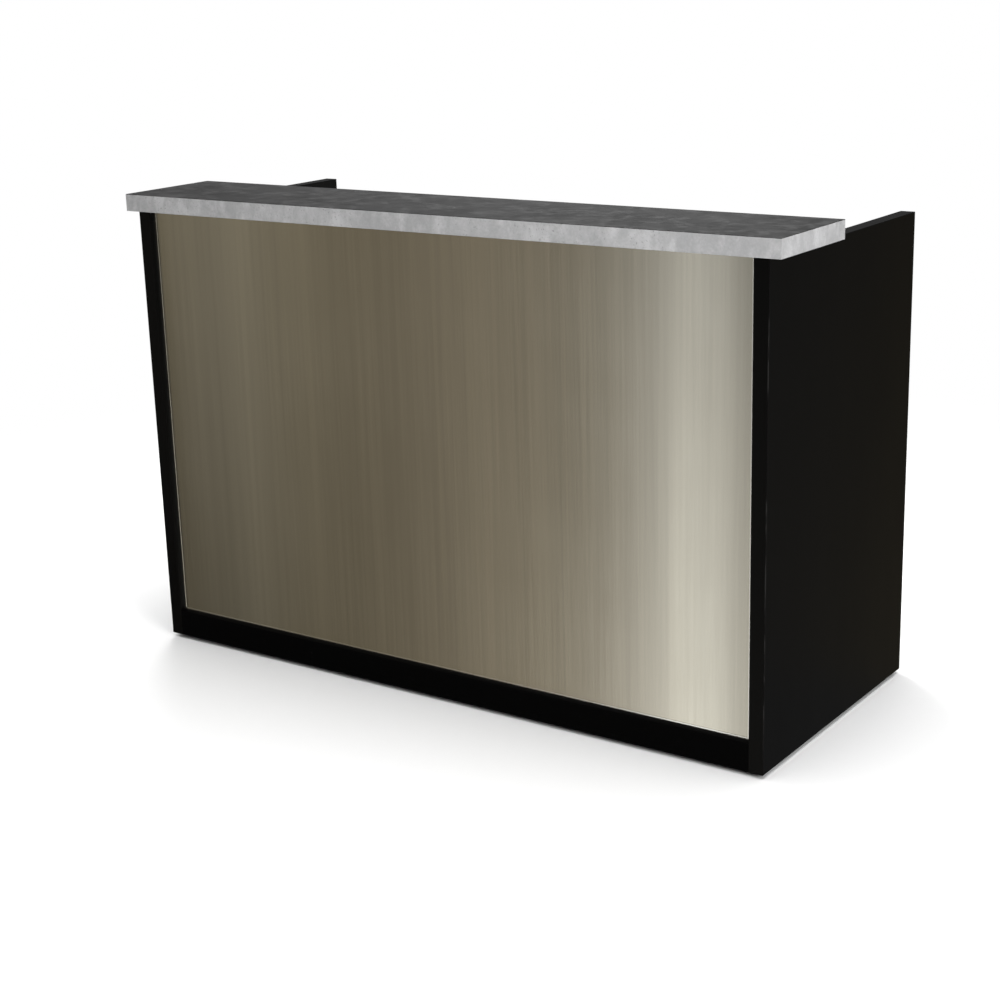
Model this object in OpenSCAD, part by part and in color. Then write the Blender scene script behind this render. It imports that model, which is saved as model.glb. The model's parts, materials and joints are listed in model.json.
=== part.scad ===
// Mobile bar unit: a black laminate case on hidden casters, with a brushed steel front and a stone-look
// bar top.
// The bartender's side has a work deck with a drop-in ice bin, a speed rail and open storage.
// Millimetres, +Z up, guests in front at -Y, left and right as the guests see them.
// The origin is on the floor, under the middle of the bar.

/* [Case] */
// Width over the two end panels
case_w = 1830; // [1500:10:2200]
// Depth of the end panels
case_d = 765; // [720:5:850]
// Height of the end panels
panel_h = 1172; // [1120:1:1250]
// Thickness of the end panels and of the front base rail
panel_t = 38; // [34:1:45]
// Thickness of the front board, the bottom deck and the rear base rail
board_t = 18; // [15:1:20]
// Gap between the end panels and the floor
floor_gap = 10; // [6:1:20]
// Height of the front base rail
base_h = 70; // [50:1:80]
// Depth of the housings cut into the end panels
housing = 10; // [6:1:15]
// Distance that the bottom deck's housing stops short of the back edge
housing_stop = 20; // [10:1:40]
// Radius of the eased edges of the end panels and the base rails
edge_r = 1.5; // [0.5:0.5:4]

/* [Bar top] */
// Depth of the bar top
top_d = 309; // [250:1:400]
// Thickness of the bar top
top_t = 44; // [30:1:60]
// Overhang of the bar top past each end panel
top_side_over = 32; // [0:1:60]
// Overhang of the bar top past the front edges of the end panels
top_front_over = 12; // [0:1:60]
// Thickness of the top sheet and of the edging strips
lam_t = 1.2; // [0.8:0.1:2]
// Length of each leg of the steel angles under the bar top
angle_leg = 40; // [30:1:60]
// Width of the angles
angle_w = 60; // [40:1:90]
// Thickness of the angles
angle_t = 3; // [2:0.5:5]

/* [Front skin] */
// Distance of the steel skin behind the front edges of the end panels
skin_recess = 14; // [8:1:18]
// Thickness of the steel skin
skin_t = 1.5; // [1:0.1:3]
// Width of the edge trim on the skin's face
trim_w = 8; // [4:0.5:15]
// Thickness of the edge trim
trim_t = 1.2; // [0.8:0.1:2]

/* [Work deck] */
// Drop of the work deck below the top of the end panels
deck_drop = 206; // [140:1:250]
// Thickness of the stainless sheet
sheet_t = 1.5; // [1:0.1:2.5]
// Distance of the deck's nose from the back edges of the end panels
deck_setback = 130; // [110:1:160]
// Height of the deck's nose
nose_h = 25; // [18:1:40]
// Outside radius of the nose
nose_r = 6; // [4:0.5:8]
// Depth of the return under the nose
nose_return = 15; // [13:1:25]
// Distance of the apron behind the nose
apron_setback = 12; // [8:1:12]
// Depth of the apron's top flange
apron_flange = 15; // [10:1:25]
// Width of the filler panel at each end of the apron
filler_w = 160; // [80:5:250]
// Clearance between sheet metal and its neighbours
fit = 0.5; // [0.2:0.1:0.9]
// Thickness of the cleats
cleat_t = 20; // [15:1:30]
// Height of the cleats under the deck
cleat_h = 40; // [25:1:60]

/* [Ice bin] */
// Length of the well
well_w = 914; // [600:1:1100]
// Width of the well
well_d = 300; // [200:1:360]
// Depth of the well at its ends
well_h = 300; // [200:1:320]
// Radius of the well's upright corners
well_r = 40; // [30:1:60]
// Radius between the well's walls and its floor
cove_r = 25; // [10:1:30]
// Fall of the floor from the ends to the drain
floor_fall = 9; // [3:1:15]
// Length of the level floor around the drain
drain_flat = 110; // [90:1:140]
// Thickness of the insulation
ins_t = 30; // [15:1:40]
// Radius of the jacket's upright corners
jacket_r = 20; // [10:1:40]
// Lap of the bin's flange on the deck
flange_lip = 15; // [8:1:25]
// Clearance of the bin in the deck's cut-out
bin_fit = 0.8; // [0.4:0.1:0.9]

/* [Speed rail] */
// Drop of the tray's underside below the work deck
tray_drop = 421; // [380:1:450]
// Height of the tray's lip
tray_lip = 30; // [20:1:45]
// Bend radius of the tray's lower corners
tray_r = 6; // [3:0.5:10]
// Gap between the tray's lip and the retaining band
slot_h = 36; // [20:1:60]
// Height of the retaining band
band_h = 109; // [90:1:130]
// Outside radius of the rolled edges
hem_r = 3; // [2.6:0.1:5]
// Thickness of the end brackets
bracket_t = 3; // [2:0.5:5]
// Width of an end bracket's frame, from the panel to the band
bracket_w = 160; // [140:1:180]
// Stand of the frame above and below the band
bracket_over = 6; // [3:1:10]
// Width of the frame's post on the panel
bracket_post = 43; // [36:1:50]
// Width of the frame on the other three sides of its window
bracket_bar = 28; // [20:1:32]
// Depth of the end bracket's flange on the panel
bracket_flange = 30; // [26:1:40]
// Lap of the end bracket's tongue behind the band
bracket_lap = 24; // [15:1:35]
// Corner radius of the end bracket and its window
bracket_r = 6; // [2:1:10]
// Shank radius of the wood screws
screw_r = 2; // [1.5:0.1:3]
// Length of the wood screws below the head
screw_len = 15; // [10:1:25]

/* [Drain] */
// Outside radius of the outlet's tail
outlet_r = 20; // [16:1:24]
// Wall of the outlet's tail
outlet_wall = 4; // [3:0.5:6]
// Radius of the outlet's flange in the well
outlet_flange_r = 38; // [32:1:44]
// Length of the outlet's tail below the bin
outlet_tail = 35; // [30:1:60]
// Height of the outlet's lock nut
nut_h = 10; // [8:1:14]
// Outside radius of the drain pipe
pipe_r = 16.85; // [14:0.05:18]
// Wall of the drain pipe
pipe_wall = 3.2; // [2:0.1:5]
// Bend radius of the drain pipe
bend_r = 40; // [30:1:60]
// Drop from the underside of the bin to the level run of the pipe
pipe_drop = 129; // [100:1:160]
// Level run of the pipe before the valve
pipe_run = 16; // [10:1:60]
// Length of the valve
valve_len = 72; // [66:1:90]
// Depth of the sockets at the valve's ends
socket = 12; // [8:1:14]
// Radius of the valve's ball
ball_r = 17; // [15:0.5:18]
// Radius of the bore through the ball
ball_bore = 12; // [8:0.5:12]
// Radius of the valve's stem
stem_r = 5; // [4:0.5:7]
// Length of the valve's handle from the stem
handle_len = 95; // [70:1:130]
// Radius of the hose tail
tail_r = 12.5; // [9:0.5:14]
// Length of the hose tail
tail_len = 40; // [25:1:60]

/* [Casters] */
// Diameter of the wheels
wheel_d = 75; // [65:1:85]
// Width of the treads
wheel_w = 25; // [20:1:32]
// Thickness of the rubber tread
tread_t = 7.5; // [5:0.5:12]
// Offset of the axle from the swivel axis
trail = 32; // [26:1:38]
// Distance of the swivel axis from the faces around it
caster_inset = 125; // [118:1:180]
// Angle by which the front casters stand turned outward
front_turn = 90; // [0:5:180]
// Length of the mounting plate
plate_l = 92; // [84:1:110]
// Width of the mounting plate
plate_w = 64; // [56:1:80]
// Thickness of the mounting plate
plate_t = 3; // [2.5:0.5:5]
// Radius of the axle
axle_r = 4; // [3:0.5:6]
// Radius of the kingpin
king_r = 6; // [5:0.5:8]
// Thickness of the fork's legs
leg_t = 3; // [2:0.5:4]
// Length of the brake pedal from its pivot
pedal_len = 40; // [30:1:42]
// Shank radius of the caster bolts
bolt_r = 4; // [3:0.5:5]

/* [Hidden] */
$fn = 48;
run_fit = 0.05;        // radial clearance of a running fit
part_gap = 0.3;        // clearance between pieces that move past each other
seat_fit = 0.1;        // radial clearance of a screw, nut or socket that stays put
over = 1;              // how far a cut runs past the face that it opens

laminate_black = [0.05, 0.05, 0.05];
board_black = [0.08, 0.08, 0.08];
steel = [0.62, 0.60, 0.55];
bright_steel = [0.78, 0.78, 0.77];
stone_dark = [0.37, 0.37, 0.37];
stone_pale = [0.74, 0.74, 0.74];
timber = [0.72, 0.58, 0.40];
foam = [0.85, 0.80, 0.62];
brass = [0.72, 0.58, 0.32];
zinc = [0.66, 0.67, 0.68];
rubber = [0.16, 0.16, 0.17];
grey_plastic = [0.45, 0.46, 0.47];
grip_red = [0.60, 0.10, 0.09];

// Case
inner_w = case_w - 2 * panel_t;
back_y = (case_d + top_front_over) / 2;
front_y = back_y - case_d;
skin_y = front_y + skin_recess;
board_y = skin_y + skin_t;
wall_y = board_y + board_t;
base_top = floor_gap + base_h;
top_z = floor_gap + panel_h;

// Bar top
top_w = case_w + 2 * top_side_over;
top_front_y = front_y - top_front_over;
core_t = top_t - lam_t;
wall_angles = 3;       // angles along the front board
angle_step = inner_w / wall_angles;
side_angle_y = wall_y + (top_front_y + top_d - wall_y) / 2;
screw_at = angle_leg * 0.6;
head_r = 2 * screw_r;
head_h = 1.2 * screw_r;

// Work deck and apron
deck_z = top_z - deck_drop;
deck_under = deck_z - sheet_t;
nose_y = back_y - deck_setback;
apron_y = nose_y - apron_setback;
apron_back = apron_y - sheet_t;
apron_top = deck_z - nose_h;
seam = 0.6;            // open seam between the apron and its fillers

// Ice bin
well_y = (wall_y + nose_y) / 2;
floor_low = deck_z - well_h - floor_fall;
shell_w = well_w + 2 * (sheet_t + ins_t);
shell_d = well_d + 2 * (sheet_t + ins_t);
jacket_z = floor_low - 2 * sheet_t - ins_t;
cut_w = shell_w + 2 * (sheet_t + bin_fit);
cut_d = shell_d + 2 * (sheet_t + bin_fit);

// Speed rail
tray_z = deck_z - tray_drop;
band_z = tray_z + tray_lip + slot_h;
rail_d = back_y - apron_y;
rail_mid_y = apron_y + rail_d / 2;
band_mid_z = band_z + band_h / 2;
tab_screw_z = tray_z + tray_lip * 0.55;
bracket_h = band_h + 2 * bracket_over;
bracket_y = back_y - sheet_t - bracket_t / 2;
flange_y = back_y - sheet_t - bracket_flange / 2;
bracket_spots = [for (sz = [-1, 1])
    [flange_y - bracket_t / 2, band_mid_z + sz * (bracket_h - bracket_post) / 2]];
tab_spots = [for (sy = [-1, 1]) [rail_mid_y + sy * rail_d / 4, tab_screw_z]];

// Drain
outlet_end = jacket_z - outlet_tail;
collar_h = outlet_tail - nut_h - 6;
collar_wall = 3.5;
run_z = jacket_z - pipe_drop;
bend_z = run_z + bend_r;
valve_y = well_y + bend_r + pipe_run;
valve_mid = valve_y + valve_len / 2;
valve_hex_r = pipe_r + 8;
boss_h = valve_hex_r + 8;
boss_r = stem_r + 4;
handle_z = run_z + boss_h + part_gap;
handle_t = 3;
handle_nut_h = 6;
tail_hex = 10;
tail_y = valve_y + valve_len;

// Casters
wheel_r = wheel_d / 2;
crown_t = 5;
crown_r = 28;
wheel_gap = 9;         // wheel to crown
cup_h = 7.7;
cup_r = 26;
crown_z = wheel_d + wheel_gap;
cup_z = crown_z + crown_t + part_gap;
plate_z = cup_z + cup_h;
floor_z = plate_z + plate_t;
king_head_r = king_r + 4;
king_head_h = 4;
leg_in = wheel_w / 2 + 2;
leg_out = leg_in + leg_t;
leg_top_r = 12;
boss_axle_r = axle_r + 7;
pivot_r = 3;
pivot_angle = 40;
pivot_reach = wheel_r + 7;
pivot = [trail + pivot_reach * cos(pivot_angle), wheel_r + pivot_reach * sin(pivot_angle)];
bolt_x = plate_l / 2 - 8.5;
bolt_y = plate_w / 2 - 9.5;
bolt_head_h = 5.3;
bolt_grip = board_t - 3;
caster_x = inner_w / 2 - caster_inset;
caster_front_y = front_y + panel_t + caster_inset;
caster_back_y = back_y - board_t - caster_inset;
corners = [[-caster_x, caster_front_y], [caster_x, caster_front_y],
           [-caster_x, caster_back_y], [caster_x, caster_back_y]];
caster_turn = [front_turn, -front_turn, 0, 0];

// Rectangle with round corners, centred
module round_rect(w, d, r) {
    square([w - 2 * r, d], center = true);
    square([w, d - 2 * r], center = true);
    for (sx = [-1, 1], sy = [-1, 1])
        translate([sx * (w / 2 - r), sy * (d / 2 - r)]) circle(r);
}

// A rectangle whose corners are round except beside the fold, which is at its low (-1) or high (1) end
module fold_rect(w, d, r, fold) {
    round_rect(w, d, r);
    translate([fold * w / 4, 0]) square([w / 2, d], center = true);
}

// Straight web between two circles, along their outer tangents and a little inside them
module web(p1, r1, p2, r2) {
    inside = 0.05;
    way = p2 - p1;
    a = atan2(way[1], way[0]);
    b = acos((r1 - r2) / norm(way));
    e1 = r1 - inside;
    e2 = r2 - inside;
    polygon([
        p1 + e1 * [cos(a + b), sin(a + b)], p2 + e2 * [cos(a + b), sin(a + b)],
        p2 + e2 * [cos(a - b), sin(a - b)], p1 + e1 * [cos(a - b), sin(a - b)]]);
}

// Round-ended bars from the first point to each of the others; each point is [place, radius]
module bars(from, others) {
    translate(from[0]) circle(from[1]);
    for (to = others) {
        web(from[0], from[1], to[0], to[1]);
        translate(to[0]) circle(to[1]);
    }
}

// A profile drawn in Y and Z, extruded along X about the middle
module along_x(length) {
    rotate([90, 0, 90]) linear_extrude(length, center = true) children();
}

// A profile drawn in X and Z, extruded along Y about the middle
module along_y(length) {
    rotate([90, 0, 0]) linear_extrude(length, center = true) children();
}

// Turns what points up to point to the back
module to_back() {
    rotate([-90, 0, 0]) children();
}

// Wood screw that points up, with its head's underside at the origin
module screw() {
    cylinder(r = screw_r, h = screw_len);
    translate([0, 0, -head_h]) cylinder(r = head_r, h = head_h);
}

module screw_hole() {
    translate([0, 0, -over]) cylinder(r = screw_r + seat_fit, h = screw_len + over + seat_fit);
}

// Places of the angles under the bar top: along the front board, and one on each end panel
module at_angles() {
    for (i = [0 : wall_angles - 1])
        translate([(i - (wall_angles - 1) / 2) * angle_step, wall_y, top_z]) children();
    for (side = [-1, 1])
        translate([side * inner_w / 2, side_angle_y, top_z]) rotate(side * 90) children();
}

// The two screws of one angle: up into the core, and level into what it stands against
module at_angle_screws() {
    translate([0, screw_at, -angle_t]) children();
    translate([0, angle_t, -screw_at]) rotate([90, 0, 0]) children();
}

// Screws that hold the speed rail's brackets and the tray's tabs to an end panel
module at_rail_screws(side) {
    for (p = bracket_spots)
        translate([side * (inner_w / 2 - bracket_t), p[0], p[1]]) rotate([0, side * 90, 0]) children();
    for (p = tab_spots)
        translate([side * (inner_w / 2 - fit - sheet_t), p[0], p[1]]) rotate([0, side * 90, 0]) children();
}

// Case

module end_panel(side) {
    color(laminate_black)
    difference() {
        translate([side * (case_w - panel_t) / 2, front_y + case_d / 2, floor_gap + panel_h / 2])
            intersection() {
                linear_extrude(panel_h, center = true) round_rect(panel_t, case_d, edge_r);
                along_y(case_d) round_rect(panel_t, panel_h, edge_r);
            }
        translate([side * inner_w / 2 - housing, board_y, base_top])
            cube([2 * housing, board_t, panel_h]);
        translate([side * inner_w / 2 - housing, wall_y - over, floor_z])
            cube([2 * housing, back_y - housing_stop - wall_y + over, board_t]);
        at_angles() at_angle_screws() screw_hole();
        at_rail_screws(side) screw_hole();
    }
}

module front_board() {
    color(board_black)
    difference() {
        translate([-inner_w / 2 - housing, board_y, base_top])
            cube([inner_w + 2 * housing, board_t, top_z - base_top]);
        at_angles() at_angle_screws() screw_hole();
    }
}

module front_skin() {
    color(steel)
    translate([-inner_w / 2 + trim_t, skin_y, base_top + trim_t])
        cube([inner_w - 2 * trim_t, skin_t, top_z - base_top - trim_t]);
}

// Angle trim: one leg laps the skin's face, the other lies along what frames it
module trim_profile() {
    translate([0, -trim_t]) square([trim_w, trim_t]);
    translate([0, -trim_t]) square([trim_t, trim_t + skin_t]);
}

module skin_trim_left() {
    color(bright_steel)
    translate([-inner_w / 2, skin_y, base_top]) linear_extrude(top_z - base_top) trim_profile();
}

module skin_trim_right() {
    mirror([1, 0, 0]) skin_trim_left();
}

module skin_trim_bottom() {
    color(bright_steel)
    translate([0, skin_y, base_top])
        along_x(inner_w - 2 * trim_w) mirror([1, -1]) trim_profile();
}

module base_rail_front() {
    color(laminate_black)
    translate([0, front_y + panel_t / 2, floor_gap + base_h / 2])
        along_x(inner_w) round_rect(panel_t, base_h, edge_r);
}

module base_rail_rear() {
    color(laminate_black)
    translate([0, back_y - board_t / 2, (floor_gap + floor_z) / 2])
        along_x(inner_w) round_rect(board_t, floor_z - floor_gap, edge_r);
}

module bottom_deck() {
    deck_d = back_y - wall_y;
    color(board_black)
    difference() {
        union() {
            translate([-inner_w / 2, wall_y, floor_z]) cube([inner_w, deck_d, board_t]);
            translate([-inner_w / 2 - housing, wall_y, floor_z])
                cube([inner_w + 2 * housing, deck_d - housing_stop, board_t]);
        }
        at_caster_bolts()
            translate([0, 0, -over]) cylinder(r = bolt_r + seat_fit, h = bolt_grip + over + seat_fit);
    }
}

// Bar top

module bar_top_core() {
    color(timber)
    difference() {
        translate([-top_w / 2 + lam_t, top_front_y + lam_t, top_z])
            cube([top_w - 2 * lam_t, top_d - 2 * lam_t, core_t]);
        at_angles() at_angle_screws() screw_hole();
    }
}

module bar_top_sheet() {
    color(stone_dark)
    translate([-top_w / 2, top_front_y, top_z + core_t]) cube([top_w, top_d, lam_t]);
}

module bar_top_edging() {
    color(stone_pale) {
        for (y = [top_front_y, top_front_y + top_d - lam_t])
            translate([-top_w / 2, y, top_z]) cube([top_w, lam_t, core_t]);
        for (x = [-top_w / 2, top_w / 2 - lam_t])
            translate([x, top_front_y + lam_t + seat_fit, top_z])
                cube([lam_t, top_d - 2 * (lam_t + seat_fit), core_t]);
    }
}

module top_angles() {
    color(zinc)
    at_angles()
        difference() {
            along_x(angle_w) {
                translate([0, -angle_t]) square([angle_leg, angle_t]);
                translate([0, -angle_leg]) square([angle_t, angle_leg]);
            }
            at_angle_screws() screw_hole();
        }
}

module angle_screws() {
    color(bright_steel) at_angles() at_angle_screws() screw();
}

// Work deck and apron

// Cleats on the end panels and the front board, and uprights behind the ends of the apron
module deck_cleats() {
    side_y = wall_y + cleat_t + fit;
    side_l = apron_back - max(apron_flange, cleat_t) - fit - side_y;
    color(timber) {
        translate([-inner_w / 2, wall_y, deck_under - cleat_h]) cube([inner_w, cleat_t, cleat_h]);
        for (side = [-1, 1]) {
            translate([side * (inner_w - cleat_t) / 2 - cleat_t / 2, side_y, deck_under - cleat_h])
                cube([cleat_t, side_l, cleat_h]);
            translate([side * (inner_w - cleat_t) / 2 - cleat_t / 2, apron_back - cleat_t, tray_z])
                cube([cleat_t, cleat_t, apron_top - sheet_t - tray_z]);
        }
    }
}

// Turned-down front edge: a rounded channel, of which the front half is kept
module nose_profile() {
    intersection() {
        translate([nose_y - nose_return, deck_z - nose_h / 2])
            difference() {
                round_rect(2 * nose_return, nose_h, nose_r);
                round_rect(2 * (nose_return - sheet_t), nose_h - 2 * sheet_t, nose_r - sheet_t);
            }
        translate([nose_y - nose_return, deck_z - nose_h]) square([nose_return, nose_h]);
    }
}

module work_deck() {
    plate_y = wall_y + fit;
    color(steel)
    difference() {
        along_x(inner_w - 2 * fit) {
            nose_profile();
            translate([plate_y, deck_under]) square([nose_y - nose_return - plate_y, sheet_t]);
        }
        translate([0, well_y, deck_under - over])
            linear_extrude(sheet_t + 2 * over) round_rect(cut_w, cut_d, jacket_r + bin_fit);
    }
}

// Upright sheet with a flange turned in at the top
module apron_profile() {
    translate([apron_back, tray_z]) square([sheet_t, apron_top - tray_z]);
    translate([apron_y - apron_flange, apron_top - sheet_t]) square([apron_flange, sheet_t]);
}

module apron() {
    color(steel) along_x(inner_w - 2 * (filler_w + seam)) apron_profile();
}

module apron_filler(side) {
    color(steel)
    translate([side * (inner_w - filler_w - fit) / 2, 0, 0]) along_x(filler_w - fit) apron_profile();
}

// Ice bin

// The hollow of the well, grown evenly: coved walls, and a floor that falls to the middle
module well_space(grow, height) {
    low = floor_low - grow;
    half_w = well_w / 2 + grow;
    tall = height - low;
    translate([0, well_y, 0])
    intersection() {
        translate([0, 0, low]) linear_extrude(tall) round_rect(2 * half_w, well_d + 2 * grow, well_r + grow);
        along_y(well_d + 2 * grow)
            translate([0, low + tall]) round_rect(2 * half_w, 2 * tall, cove_r + grow);
        along_x(2 * half_w)
            translate([0, low + tall]) round_rect(well_d + 2 * grow, 2 * tall, cove_r + grow);
        along_y(well_d + 2 * grow)
            polygon([
                [-half_w, low + floor_fall], [-drain_flat / 2, low], [drain_flat / 2, low],
                [half_w, low + floor_fall], [half_w, height], [-half_w, height]]);
    }
}

module drain_hole() {
    translate([0, well_y, outlet_end])
        cylinder(r = outlet_r + seat_fit, h = floor_low - outlet_end + over);
}

module bin_liner() {
    rim = deck_z + sheet_t;
    color(steel)
    difference() {
        union() {
            well_space(sheet_t, rim);
            translate([0, well_y, deck_z])
                linear_extrude(sheet_t)
                    round_rect(cut_w + 2 * flange_lip, cut_d + 2 * flange_lip, jacket_r + flange_lip);
        }
        well_space(0, rim + over);
        drain_hole();
    }
}

module bin_insulation() {
    color(foam)
    difference() {
        translate([0, well_y, jacket_z + sheet_t])
            linear_extrude(deck_z - jacket_z - sheet_t) round_rect(shell_w, shell_d, jacket_r - sheet_t);
        well_space(sheet_t, deck_z + over);
        drain_hole();
    }
}

module bin_jacket() {
    color(zinc)
    difference() {
        translate([0, well_y, jacket_z])
            linear_extrude(deck_z - jacket_z)
                round_rect(shell_w + 2 * sheet_t, shell_d + 2 * sheet_t, jacket_r);
        translate([0, well_y, jacket_z + sheet_t])
            linear_extrude(deck_z - jacket_z) round_rect(shell_w, shell_d, jacket_r - sheet_t);
        drain_hole();
    }
}

// Speed rail

// Sheet rolled inwards into a small tube, its outside flush with the back edges of the end panels
module hem(z) {
    translate([back_y - hem_r, z])
        difference() {
            circle(hem_r);
            circle(hem_r - sheet_t);
        }
}

module rail_tray() {
    lip_top = tray_z + tray_lip;
    wall_h = tray_lip - hem_r;
    tab_l = rail_d - 2 * sheet_t;
    color(steel)
    difference() {
        union() {
            along_x(inner_w - 2 * fit) {
                intersection() {
                    translate([rail_mid_y, tray_z + wall_h])
                        difference() {
                            round_rect(rail_d, 2 * wall_h, tray_r);
                            round_rect(rail_d - 2 * sheet_t, 2 * (wall_h - sheet_t), tray_r - sheet_t);
                        }
                    translate([apron_y, tray_z]) square([rail_d, wall_h]);
                }
                hem(lip_top - hem_r);
            }
            for (side = [-1, 1])
                translate([side * ((inner_w - sheet_t) / 2 - fit), rail_mid_y, tray_z + tray_r / 2])
                    translate([-sheet_t / 2, -tab_l / 2, 0]) cube([sheet_t, tab_l, tray_lip - tray_r / 2]);
        }
        for (side = [-1, 1]) at_rail_screws(side) screw_hole();
    }
}

module rail_band() {
    color(steel)
    along_x(inner_w - 2 * (bracket_w + fit)) {
        translate([back_y - sheet_t, band_z + hem_r]) square([sheet_t, band_h - 2 * hem_r]);
        hem(band_z + hem_r);
        hem(band_z + band_h - hem_r);
    }
}

// Folded plate: a square frame with a window, a flange screwed to the end panel and a tongue behind the band
module rail_bracket(side) {
    window_w = bracket_w - bracket_post - bracket_bar;
    window_h = bracket_h - 2 * bracket_bar;
    tongue_w = bracket_lap + bracket_bar / 2;
    tongue_h = band_h - 4 * hem_r - 2 * fit;
    color(steel)
    difference() {
        union() {
            translate([side * (inner_w - bracket_w) / 2, bracket_y, band_mid_z])
                along_y(bracket_t)
                    difference() {
                        union() {
                            fold_rect(bracket_w, bracket_h, bracket_r, side);
                            translate([-side * (bracket_w / 2 + bracket_lap - tongue_w / 2), 0])
                                square([tongue_w, tongue_h], center = true);
                        }
                        translate([side * (bracket_bar - bracket_post) / 2, 0])
                            round_rect(window_w, window_h, bracket_r);
                    }
            translate([side * (inner_w - bracket_t) / 2, flange_y, band_mid_z])
                along_x(bracket_t) fold_rect(bracket_flange, bracket_h, bracket_r, 1);
        }
        at_rail_screws(side) screw_hole();
    }
}

module rail_screws() {
    color(bright_steel)
    for (side = [-1, 1]) at_rail_screws(side) screw();
}

// Drain

// Flanged outlet with a strainer across its mouth
module drain_outlet() {
    flange_t = 2;
    strainer_t = 2;
    strainer_hole = 2.2;
    strainer_rings = [[1, 0], [6, 5.5], [12, 11]];
    bore = outlet_r - outlet_wall;
    color(bright_steel)
    translate([0, well_y, 0])
    difference() {
        union() {
            translate([0, 0, floor_low]) cylinder(r = outlet_flange_r, h = flange_t);
            translate([0, 0, outlet_end]) cylinder(r = outlet_r, h = floor_low - outlet_end);
        }
        translate([0, 0, outlet_end - over])
            cylinder(r = bore, h = floor_low + flange_t - strainer_t - outlet_end + over);
        for (ring = strainer_rings, i = [0 : ring[0] - 1])
            rotate(i * 360 / ring[0])
                translate([ring[1], 0, floor_low - over])
                    cylinder(r = strainer_hole, h = flange_t + 2 * over);
    }
}

module drain_nut() {
    color(brass)
    translate([0, well_y, jacket_z - nut_h])
    difference() {
        cylinder(r = outlet_r + 11, h = nut_h, $fn = 6);
        translate([0, 0, -over]) cylinder(r = outlet_r + seat_fit, h = nut_h + 2 * over);
    }
}

// Collar on the outlet's tail, drop, bend and level run into the valve
module drain_pipe() {
    bore = pipe_r - pipe_wall;
    collar_z = outlet_end - collar_wall;
    run_end = pipe_run + socket;
    color(grey_plastic)
    difference() {
        translate([0, well_y, 0]) {
            translate([0, 0, collar_z]) cylinder(r = outlet_r + collar_wall, h = collar_wall + collar_h);
            translate([0, 0, bend_z]) cylinder(r = pipe_r, h = collar_z - bend_z);
            pipe_bend(pipe_r);
            translate([0, bend_r, run_z]) to_back() cylinder(r = pipe_r, h = run_end);
        }
        translate([0, well_y, 0]) {
            translate([0, 0, outlet_end]) cylinder(r = outlet_r + seat_fit, h = collar_h + over);
            translate([0, 0, bend_z]) cylinder(r = bore, h = outlet_end - bend_z + over);
            pipe_bend(bore);
            translate([0, bend_r, run_z]) to_back() cylinder(r = bore, h = run_end + over);
        }
    }
}

module pipe_bend(r) {
    translate([0, bend_r, bend_z]) rotate([90, 0, 90]) rotate(180)
        rotate_extrude(angle = 90) translate([bend_r, 0]) circle(r);
}

module valve_body() {
    hex_l = 18;
    barrel_r = ball_r + 7;
    color(brass)
    difference() {
        union() {
            translate([0, valve_y, run_z]) to_back() cylinder(r = barrel_r, h = valve_len);
            for (y = [valve_y, valve_y + valve_len - hex_l])
                translate([0, y, run_z]) to_back() cylinder(r = valve_hex_r + 2, h = hex_l, $fn = 6);
            translate([0, valve_mid, run_z]) cylinder(r = boss_r, h = boss_h);
        }
        translate([0, valve_y - over, run_z]) to_back() cylinder(r = ball_bore, h = valve_len + 2 * over);
        for (y = [valve_y - over, valve_y + valve_len - socket])
            translate([0, y, run_z]) to_back() cylinder(r = pipe_r + seat_fit, h = socket + over);
        translate([0, valve_mid, run_z]) sphere(ball_r + part_gap);
        translate([0, valve_mid, run_z]) cylinder(r = stem_r + run_fit, h = boss_h + over);
    }
}

// Ball with a bore across the pipe when closed, and the stem that turns it
module valve_ball() {
    stem_top = boss_h + part_gap + handle_t + handle_nut_h + 2;
    color(bright_steel)
    translate([0, valve_mid, run_z])
    difference() {
        union() {
            sphere(ball_r);
            cylinder(r = stem_r, h = stem_top);
        }
        rotate([0, 90, 0]) cylinder(r = ball_bore - 1, h = 2 * ball_r + 2 * over, center = true);
    }
}

// Flat lever with a dipped grip; it points across the pipe when the valve is closed
module valve_handle() {
    hub_r = stem_r + 8;
    grip_r = 9;
    grip_t = 8;
    grip_start = handle_len * 0.45;
    grip_end = handle_len - grip_r;
    color(grip_red)
    translate([0, valve_mid, handle_z])
    difference() {
        union() {
            linear_extrude(handle_t) bars([[0, 0], hub_r], [[[grip_end, 0], grip_r - 2]]);
            translate([0, 0, (handle_t - grip_t) / 2])
                linear_extrude(grip_t) bars([[grip_start, 0], grip_r], [[[grip_end, 0], grip_r - 1]]);
        }
        translate([0, 0, -over]) cylinder(r = stem_r + seat_fit, h = grip_t + 2 * over);
    }
}

module valve_nut() {
    color(zinc)
    translate([0, valve_mid, handle_z + handle_t])
    difference() {
        cylinder(r = stem_r + 4, h = handle_nut_h, $fn = 6);
        translate([0, 0, -over]) cylinder(r = stem_r + seat_fit, h = handle_nut_h + 2 * over);
    }
}

module hose_tail() {
    tail_wall = 3;
    color(brass)
    translate([0, tail_y, run_z])
    to_back()
    difference() {
        union() {
            translate([0, 0, -socket]) cylinder(r = pipe_r, h = socket);
            cylinder(r = pipe_r + 5, h = tail_hex, $fn = 6);
            cylinder(r = tail_r, h = tail_hex + tail_len);
        }
        translate([0, 0, -socket - over])
            cylinder(r = tail_r - tail_wall, h = socket + tail_hex + tail_len + 2 * over);
    }
}

// Casters: each piece is drawn about its swivel axis, with the wheel trailing to the back

module at_corner(i) {
    translate([corners[i][0], corners[i][1], 0]) children();
}

// What swivels with the caster; at zero it trails towards the bartender
module at_swivel(i) {
    at_corner(i) rotate([0, 0, caster_turn[i]]) children();
}

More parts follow.
